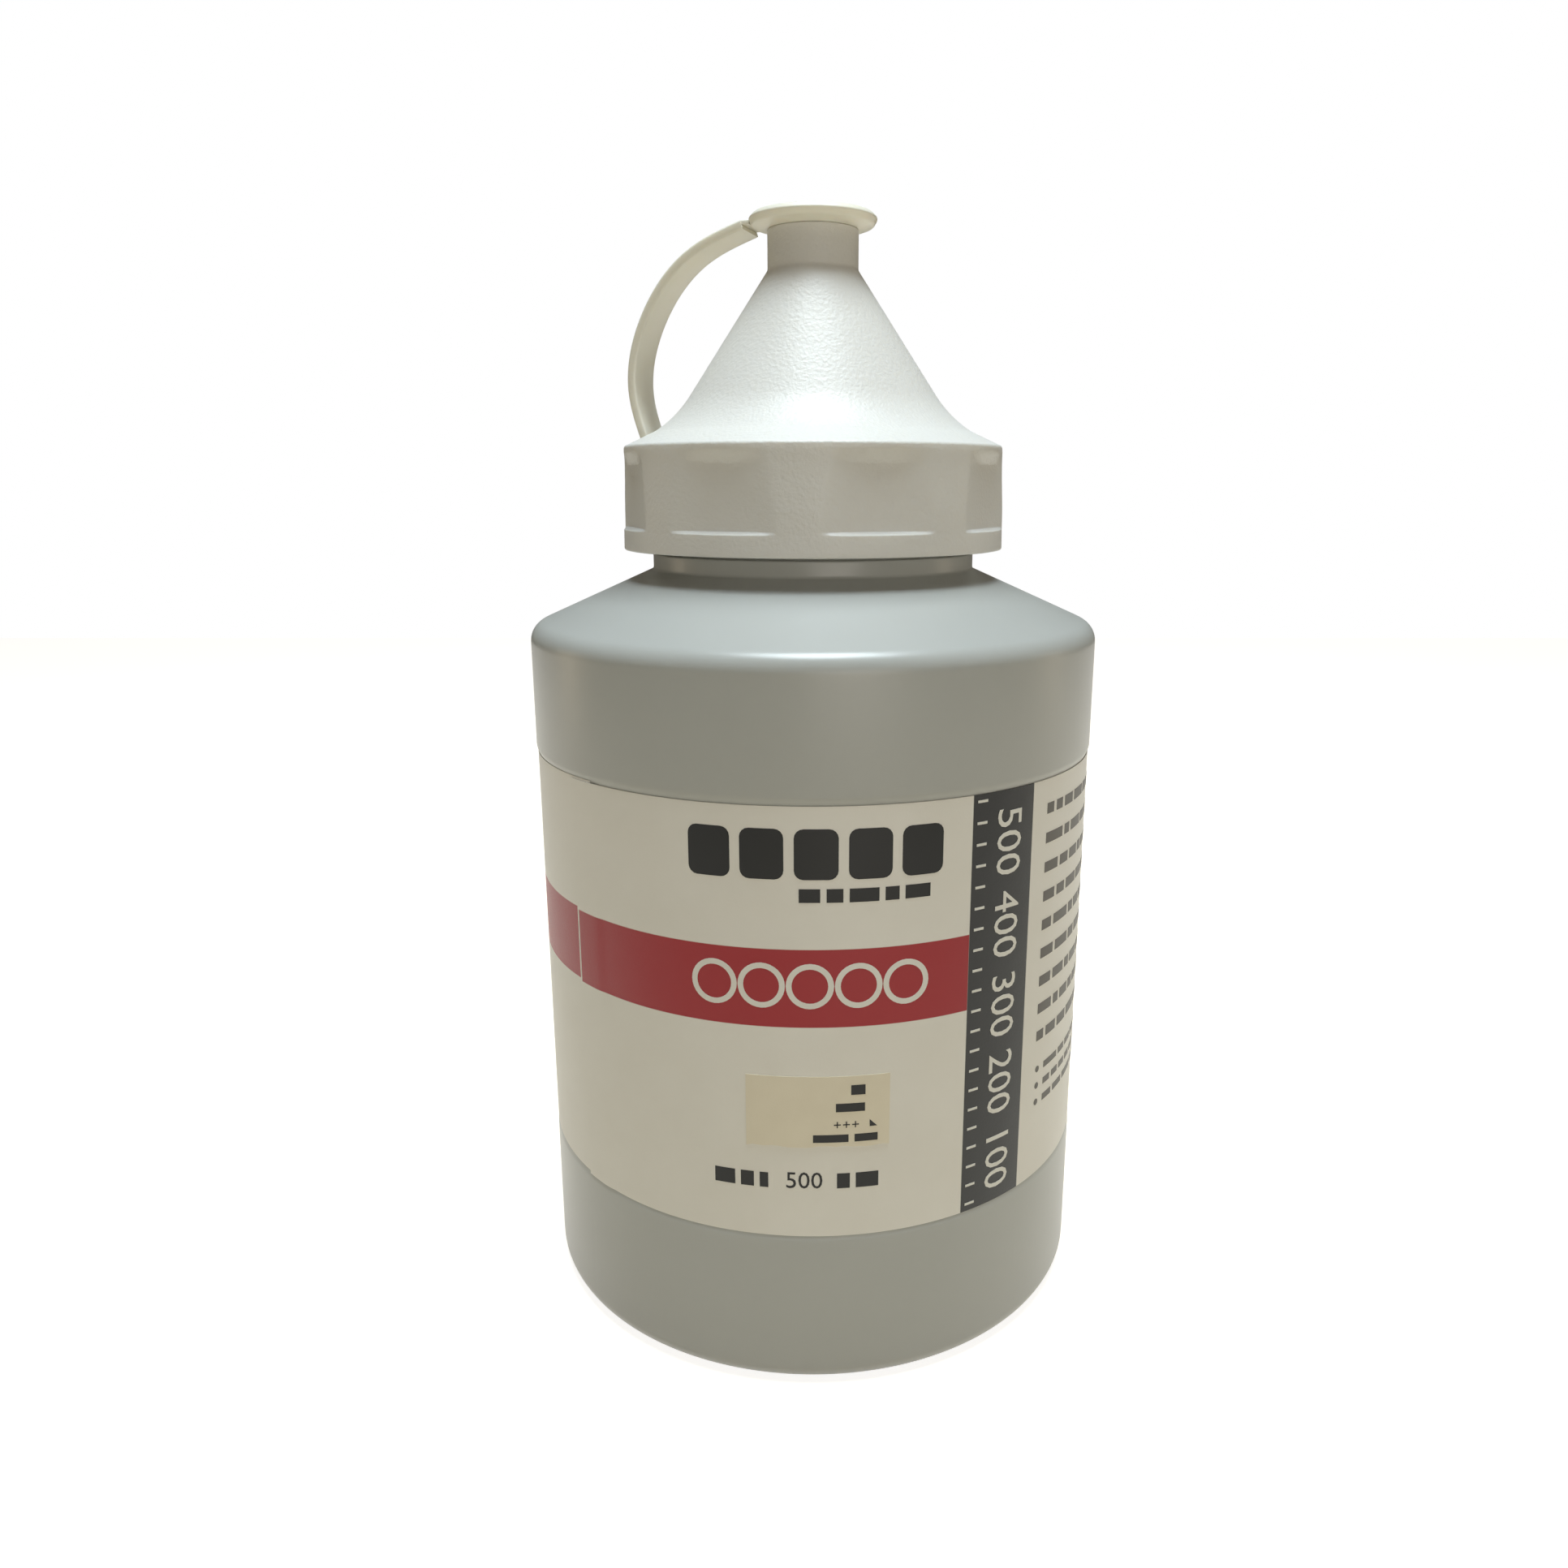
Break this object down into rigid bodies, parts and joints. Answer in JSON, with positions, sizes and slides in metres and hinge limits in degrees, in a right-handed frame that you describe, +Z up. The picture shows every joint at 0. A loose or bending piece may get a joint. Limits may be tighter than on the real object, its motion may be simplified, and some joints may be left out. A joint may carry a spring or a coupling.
{
  "type": "paint jar",
  "caption": "Round plastic paint jar with a wrap-around label, a screw cap with grip flats, and a nozzle cone closed by a snap lid on a bent strap.",
  "frame": {"origin": "centre of the standing face", "axes": "+Z up along the jar's axis, -Y towards the front of the label, +X to the front's right"},
  "size_m": [0.0844, 0.0844, 0.1588],
  "materials": {
    "jar_body": "blow-moulded HDPE, satin",
    "paint": "thick acrylic paint, wet",
    "label": "printed film, satin",
    "colour_sticker": "printed sticker, matt",
    "cap_gasket": "foamed sealing washer",
    "cap": "moulded polypropylene, fine texture",
    "strap": "moulded polyethylene",
    "lid": "moulded polyethylene"
  },
  "bodies": {
    "jar": {"jar_body": "jar_body", "paint": "paint", "label": "label", "colour_sticker": "colour_sticker"},
    "gasket": {"cap_gasket": "cap_gasket"},
    "cap": {"cap": "cap", "strap": "strap"},
    "lid": {"lid": "lid"}
  },
  "joints": [
    {"name": "cap_rise", "type": "slide", "parent": "jar", "child": "gasket", "axis": [0, 0, 1], "range_m": [0, 0.0151]},
    {"name": "cap_turn", "type": "hinge", "parent": "gasket", "child": "cap", "pos_m": [0, 0, 0.118], "axis": [0, 0, 1], "range_deg": [0, 1080]},
    {"name": "lid_flip", "type": "hinge", "parent": "cap", "child": "lid", "pos_m": [-0.00942, 0.00306, 0.15815], "axis": [-0.309, -0.9511, 0], "range_deg": [0, 150]}
  ],
  "couplings": [
    {"joint": "cap_rise", "follows": "cap_turn", "m_per_rad": 0.00079577}
  ]
}
